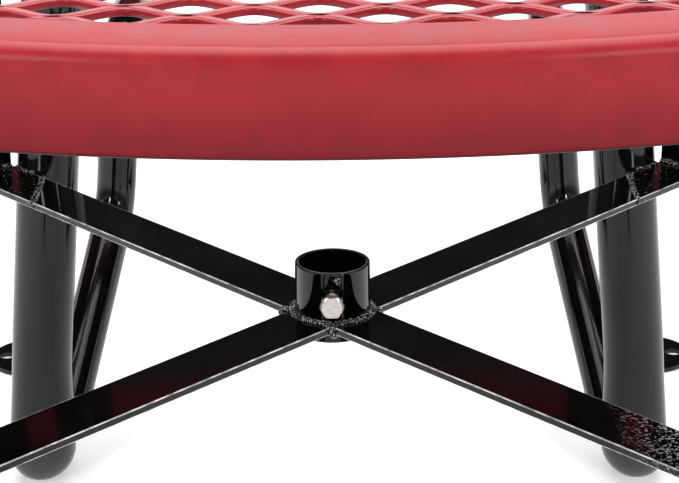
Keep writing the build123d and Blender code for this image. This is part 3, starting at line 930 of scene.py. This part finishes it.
def screw_hole_sleeve():
    """The hole's own wall, from the collar's bore to its outside."""
    angles = np.linspace(0, 2 * math.pi, SCREW_HOLE_STEPS, endpoint=False)
    x = SCREW_HOLE * np.cos(angles)
    z = BOLT_HEIGHT + SCREW_HOLE * np.sin(angles)
    rings = [np.column_stack([x, -np.sqrt(wall**2 - x**2), z]) for wall in (COLLAR_BORE, POLE_TUBE)]
    return np.vstack(rings), grid_faces(2, SCREW_HOLE_STEPS)


def build_collar():
    """The collar tube with rounded cut edges and the clamp screw's hole through its front wall."""
    low, high = (corner.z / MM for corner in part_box("collar"))
    tube = cut_screw_hole(*lathe(collar_profile(low, high), COLLAR_STEPS))
    vertices, faces = join_meshes([tube, screw_hole_sleeve()])
    make_piece("collar_tube", vertices, faces, BLACK, replaces=["collar"])


# ---- weld beads --------------------------------------------------------------
def arm_point(sx, sy, along, across, height):
    """A point by its place on an arm: along it from the axis, across it towards the Y axis."""
    x = along * ARM_SINE - across * ARM_COSINE
    y = along * ARM_COSINE + across * ARM_SINE
    return (sx * x, sy * y, height)


def ring_path(centre, radius, axis=(0, 0, 1), start=0.0, end=360.0, steps=60):
    """Points round a circle about an axis."""
    turn = Vector((0, 0, 1)).rotation_difference(Vector(axis)).to_matrix()
    points = []
    for a in np.linspace(math.radians(start), math.radians(end), steps):
        p = turn @ Vector((radius * math.cos(a), radius * math.sin(a), 0))
        points.append(tuple(np.asarray(centre, float) + np.array(p)))
    return points


def make_welds(name, beads):
    """One piece of several beads."""
    vertices, faces = join_meshes(beads)
    make_piece(name, vertices, faces, BLACK_WELD)


def seam_point(sx, sy, across, height):
    """A point on the butt joint of an arm and its end, which is cut parallel to Y."""
    along = (SEAM_X + across * ARM_COSINE) / ARM_SINE
    return arm_point(sx, sy, along, across, height)


def build_brace_welds():
    """Beads across each arm's butt joint and outer end, along its strap, and down the joint's sides."""
    half = ARM_WIDTH / 2
    half_strap = STRAP_WIDTH / 2
    laps = [(STRAP_START + 3, STRAP_START + 62), (STRAP_START + 66, STRAP_START + 124)]
    for index, (corner, (sx, sy)) in enumerate(CORNERS.items()):
        seam = [seam_point(sx, sy, across, ARM_TOP) for across in (half, -half)]
        end = [arm_point(sx, sy, ARM_END - 1, across, ARM_TOP + 0.5) for across in (half, -half)]
        paths = [(seam, 2.8), (end, 3.0)]
        for across in (-half_strap, half_strap):
            for lap in laps:
                paths.append(([arm_point(sx, sy, x, across, ARM_BOTTOM - 0.4) for x in lap], 1.7))
        for across in (-half, half):
            heights = (ARM_TOP - 0.5, ARM_BOTTOM + 0.5)
            paths.append(([seam_point(sx, sy, across, z) for z in heights], 1.3))
        beads = [weld_bead(path, radius, 100 * index + k) for k, (path, radius) in enumerate(paths)]
        make_welds(f"arm_{corner}_welds", beads)


def build_collar_welds():
    """Two passes round the collar above the arms, one below, and a blob in each fork of the arms."""
    passes = [(1.0, ARM_TOP + 1.0, 2.2), (3.6, ARM_TOP + 0.2, 2.0), (2.2, ARM_BOTTOM - 1.0, 2.4)]
    forks = [(0, 1, 9.0, 3.0), (0, -1, 10.5, 5.4), (1, 0, 11.0, 4.2), (-1, 0, 14.0, 5.0)]
    beads = []
    for index, (grow, height, radius) in enumerate(passes):
        path = ring_path((0, 0, height), POLE_TUBE + grow, steps=200)
        beads.append(weld_bead(path, radius, 7 + index, closed=True))
    for index, (sx, sy, reach, radius) in enumerate(forks):
        inner = POLE_TUBE + 1.0
        outer = POLE_TUBE + reach
        over = [(sx * r, sy * r, ARM_TOP - 2) for r in (inner, outer)]
        under = [(sx * r, sy * r, ARM_BOTTOM) for r in (inner, outer)]
        beads.append(weld_bead(over, radius, 20 + index))
        beads.append(weld_bead(under, radius * 0.8, 24 + index))
    make_welds("collar_welds", beads)


def build_nut_welds():
    """A tack above the nut, a little to one side, and a small one under it."""
    wall = -POLE_TUBE
    over = BOLT_HEIGHT + NUT_FLATS / 2 + 4.0
    under = BOLT_HEIGHT - NUT_FLATS / 2 - 1.5
    tack_over = [(1.0, wall - 0.2, over), (7.0, wall + 0.6, over - 1.5)]
    tack_under = [(-4.0, wall + 0.2, under), (4.0, wall + 0.2, under)]
    make_welds("weld_nut_welds", [weld_bead(tack_over, 3.6, 31), weld_bead(tack_under, 2.2, 32)])


def towards(start, end):
    """The direction from one point to another, one long."""
    return (end - start) / np.linalg.norm(end - start)


def build_corner_welds(index, corner, sx, sy):
    """Beads where a leg meets its plate, brace, seat tube and rail, and at the foot and riser."""
    leg_side = sx * leg_x(DOME)
    tube_base = np.array([leg_side - sx * SEAT_TUBE_INSET, sy * LEG_Y, DOME])
    rail_base = np.array([leg_side, sy * LEG_Y, RAIL_HEIGHT])
    to_knee = towards(tube_base, np.array([sx, sy, 1]) * KNEE)
    to_foot = towards(rail_base, np.array([sx * RAIL_TIP[0], sy * RAIL_TIP[1], RAIL_HEIGHT]))
    leg_top = (sx * leg_x(PLATE_BOTTOM - 1), sy * LEG_Y, PLATE_BOTTOM - 1)
    plate_ring = ring_path(leg_top, LEG_RADIUS + 1, steps=120)
    tube_ring = ring_path(tube_base + to_knee * (DOME - 9), SEAT_TUBE + 0.6, to_knee)
    rail_ring = ring_path(rail_base + to_foot * (DOME - 5), SEAT_TUBE + 0.4, to_foot)
    beads = [
        weld_bead(plate_ring, 3.0, 300 + index, closed=True),
        weld_bead(tube_ring, 2.8, 310 + index, closed=True),
        weld_bead(rail_ring, 2.6, 320 + index, closed=True),
    ]
    to_arm = math.degrees(math.atan2(-sy * ARM_COSINE, sx * ARM_SINE))
    for height in (ARM_TOP + 0.3, ARM_BOTTOM - 0.3):
        centre = (sx * leg_x(height), sy * LEG_Y, height)
        path = ring_path(centre, LEG_RADIUS + 1.0, start=to_arm - 28, end=to_arm + 28, steps=24)
        beads.append(weld_bead(path, 2.2, 330 + index))
    for across in (-1, 1):
        beside = np.array([to_foot[1], -to_foot[0], 0]) * across * 9
        points = [rail_base + to_foot * along + beside for along in (265, 322)]
        path = [(x, y, FOOT_THICK + 1.5) for x, y, _ in points]
        beads.append(weld_bead(path, 2.4, 340 + index + 5 * across))
    low, high = (np.array(c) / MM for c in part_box(f"bench_riser_{corner}"))
    middle = (low[0] + high[0]) / 2
    for across in (-1, 1):
        path = [(middle + across * 8, y, low[2] - 0.8) for y in (low[1] + 20, high[1] - 20)]
        beads.append(weld_bead(path, 2.4, 360 + index + 5 * across))
    make_welds(f"corner_{corner}_welds", beads)


# ---- finishing the pieces that keep their CAD shape --------------------------
BEVEL_STEPS = 3
BEVEL_ANGLE = 35.0


def finish_cad_node(name, material, edge, edge_material=None):
    """Gives a CAD piece its material and softens its sharp edges by edge mm."""
    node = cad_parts[name]
    node.data.materials.clear()
    node.data.materials.append(material)
    merge = node.modifiers.new("merged_corners", "WELD")
    merge.merge_threshold = MERGE_GAP * MM
    bevel = node.modifiers.new("soft_edges", "BEVEL")
    bevel.width = edge * MM
    bevel.segments = BEVEL_STEPS
    bevel.limit_method = "ANGLE"
    bevel.angle_limit = math.radians(BEVEL_ANGLE)
    # the bevels carry the painted edge highlight
    if edge_material is not None:
        node.data.materials.append(edge_material)
        bevel.material = 1
    for polygon in node.data.polygons:
        polygon.use_smooth = False


def finish_cad_nodes():
    """Materials and soft edges for the flat bars, plates, nuts, caps and pad."""
    for corner in CORNERS:
        for kind, edge in (("arm", 0.8), ("arm_end", 0.8), ("splice_strap", 0.5), ("hanger", 0.8)):
            # the arm ends and the front-right arm carry painted glints
            flat = BLACK_END if kind == "arm_end" else BLACK_BAR
            if kind in ("arm", "arm_end") and corner == "front_right":
                flat = BLACK_ROUGH_GLINTS
            finish_cad_node(f"{kind}_{corner}", flat, edge, BLACK_EDGE_HIGHLIGHT)
        for kind in ("anchor_foot", "leg_plate", "bench_riser"):
            finish_cad_node(f"{kind}_{corner}", BLACK, 0.8)
    for name in ("top_beam_rear", "top_beam_front", "top_tie_left", "top_tie_right"):
        finish_cad_node(name, RED, 0.9)
    finish_cad_node("leg_studs", ZINC, 0.4)
    finish_cad_node("leg_nuts", ZINC, 0.5)
    finish_cad_node("rail_caps", CAP, 0.9)
    finish_cad_node("seat_tube_caps", CAP, 0.9)
    finish_cad_node("clamp_pad", NYLON, 0.3)


# ---- camera, floor and light, in m and degrees -------------------------------
CAMERA_PLACE = (0.0185, -1.6497, 0.995)
CAMERA_YAW = 0.438
CAMERA_DROP = 20.007
CAMERA_ROLL = -0.4833
CAMERA_LENS = 116.64
BAND_LIGHT = grey(2.8)
CEILING = (0.03, 0.03, 0.033)
FRONT_TONE = grey(0.35)


def build_stage():
    """The floor, just under the feet."""
    bpy.ops.mesh.primitive_plane_add(size=60, location=(0, 0, -0.0005))
    floor = bpy.context.object
    floor.name = "studio_floor"
    floor.data.materials.append(pale_floor())


def build_camera():
    """Standing in front and looking down a little, with a slight roll."""
    data = bpy.data.cameras.new("camera")
    data.sensor_width = 36.0
    data.lens = CAMERA_LENS
    data.clip_start = 0.05
    camera = bpy.data.objects.new("camera", data)
    bpy.context.scene.collection.objects.link(camera)
    yaw = Matrix.Rotation(math.radians(CAMERA_YAW), 4, "Z")
    pitch = Matrix.Rotation(math.radians(90 - CAMERA_DROP), 4, "X")
    roll = Matrix.Rotation(math.radians(CAMERA_ROLL), 4, "Z")
    camera.matrix_world = Matrix.Translation(CAMERA_PLACE) @ yaw @ pitch @ roll
    bpy.context.scene.camera = camera


def add_softbox(name, place, target, size, power):
    """A rectangular area light that faces a target."""
    data = bpy.data.lights.new(name, "AREA")
    data.shape = "RECTANGLE"
    data.size, data.size_y = size
    data.energy = power
    light = bpy.data.objects.new(name, data)
    bpy.context.scene.collection.objects.link(light)
    light.location = place
    light.rotation_mode = "QUATERNION"
    light.rotation_quaternion = (Vector(target) - Vector(place)).to_track_quat("-Z", "Y")


def build_world():
    """A dark ceiling over a bright low band, dimmer in front, and an even glow below the horizon."""
    world = bpy.data.worlds.new("studio")
    bpy.context.scene.world = world
    world.use_nodes = True
    tree = world.node_tree
    background = tree.nodes["Background"]
    coords = tree.nodes.new("ShaderNodeTexCoord")
    split = tree.nodes.new("ShaderNodeSeparateXYZ")
    tree.links.new(coords.outputs["Generated"], split.inputs["Vector"])
    height = split.outputs["Z"]
    band = [(0.19, WHITE), (0.22, BAND_LIGHT), (0.262, BAND_LIGHT), (0.285, CEILING)]
    sky = add_ramp(tree, height, band)
    front = add_ramp(tree, split.outputs["Y"], [(0.0, FRONT_TONE), (0.25, WHITE)])
    below = add_ramp(tree, height, [(0.0, WHITE), (0.04, NO_COLOUR)])
    tone = mix_colours(tree, "LIGHTEN", front, below)
    light = mix_colours(tree, "MULTIPLY", sky, tone)
    tree.links.new(light, background.inputs["Color"])
    background.inputs["Strength"].default_value = 1.0


def build_softboxes():
    """One large light overhead and a small one in front at each side."""
    add_softbox("overhead_softbox", place=(0.0, 0.4, 3.4), target=(0, 0, 0.6), size=(3.4, 3.4), power=215)
    for name, side in (("left_softbox", -1), ("right_softbox", 1)):
        add_softbox(name, place=(side * 2.2, -3.4, 1.9), target=(0, -0.3, 0.6), size=(0.5, 0.9), power=45)


build_top_rim()
build_top_mesh()
build_umbrella_ring()
for bench_side, bench_sign in SIDES.items():
    build_bench(bench_side, bench_sign)
for number, (place_name, (x_sign, y_sign)) in enumerate(CORNERS.items()):
    build_leg(place_name, x_sign, y_sign)
    build_seat_tube(place_name, x_sign, y_sign)
    build_rail(place_name, x_sign, y_sign)
    build_corner_welds(number, place_name, x_sign, y_sign)
build_clamp_screw()
build_weld_nut()
build_collar()
build_brace_welds()
build_collar_welds()
build_nut_welds()
finish_cad_nodes()
build_stage()
build_camera()
build_world()
build_softboxes()
bpy.context.scene.view_settings.view_transform = "Standard"
